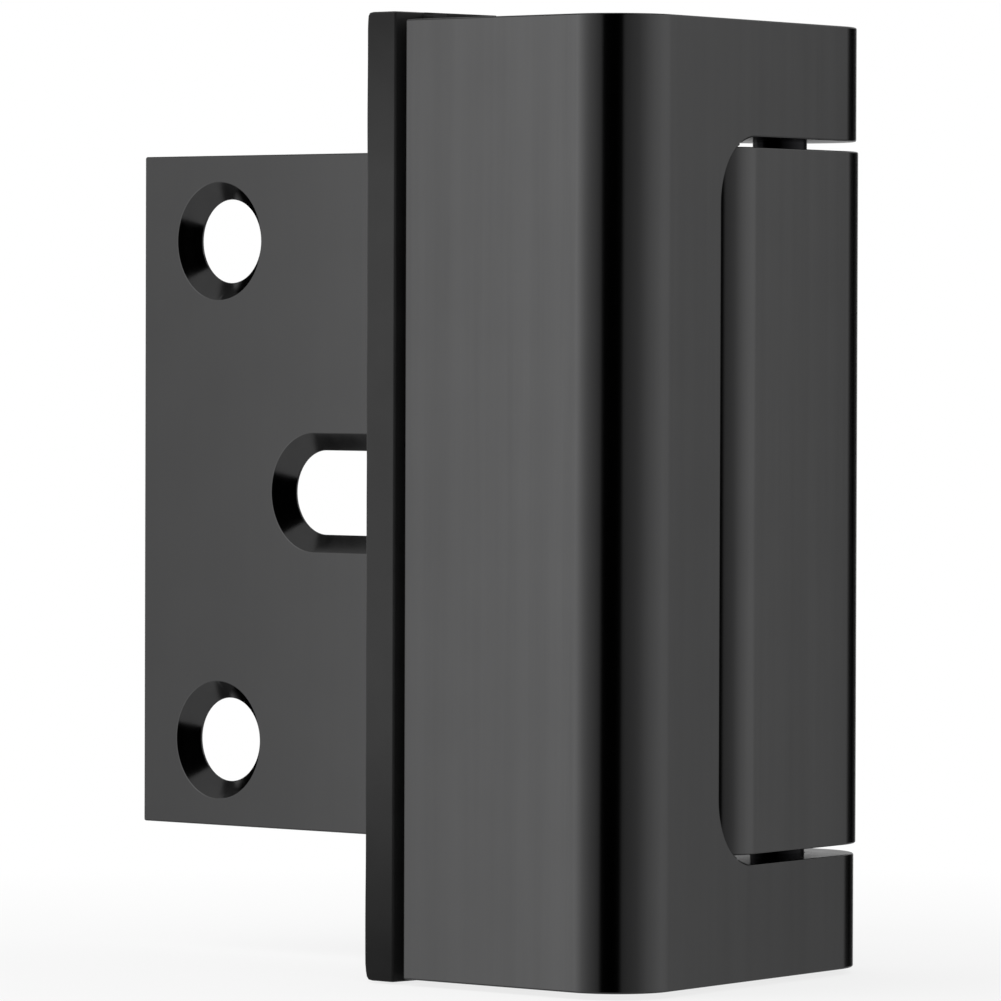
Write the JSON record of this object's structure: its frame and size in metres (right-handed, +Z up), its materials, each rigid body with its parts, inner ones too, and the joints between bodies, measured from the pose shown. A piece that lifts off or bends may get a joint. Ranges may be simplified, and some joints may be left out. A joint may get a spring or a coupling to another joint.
{
  "type": "swing-over door security latch",
  "caption": "Door security latch: a countersunk screw-on leaf with a long hinge knuckle, and a heavy extruded stop with a soft bumper strip that swings about a vertical pin.",
  "frame": {"origin": "on the back face of the leaf, midway between the two round screw holes", "axes": "+Z up along the hinge pin, +X along the leaf towards the knuckle, -Y the way the screw heads face, towards the door"},
  "size_m": [0.0681, 0.038, 0.0772],
  "materials": {
    "satin_black_metal": "extruded aluminium, satin black anodised",
    "blackened_steel": "blackened steel",
    "acetal": "plain off-white acetal",
    "spring_steel": "bright spring steel",
    "black_vinyl": "soft black vinyl"
  },
  "bodies": {
    "leaf": {"hinge_leaf": "satin_black_metal", "upper_bush": "acetal", "lower_bush": "acetal", "upper_friction_plug": "acetal", "lower_friction_plug": "acetal", "upper_set_screw": "blackened_steel", "lower_set_screw": "blackened_steel", "upper_disc_spring_1": "spring_steel", "upper_disc_spring_2": "spring_steel", "upper_disc_spring_3": "spring_steel", "upper_disc_spring_4": "spring_steel", "upper_disc_spring_5": "spring_steel", "lower_disc_spring_1": "spring_steel", "lower_disc_spring_2": "spring_steel", "lower_disc_spring_3": "spring_steel", "lower_disc_spring_4": "spring_steel", "lower_disc_spring_5": "spring_steel"},
    "stop": {"stop_body": "satin_black_metal", "hinge_pin": "blackened_steel", "bumper_strip": "black_vinyl"}
  },
  "joints": [
    {"name": "swing", "type": "hinge", "parent": "leaf", "child": "stop", "pos_m": [0.0477, 0.0149, 0], "axis": [0, 0, 1], "range_deg": [0, 169]}
  ]
}
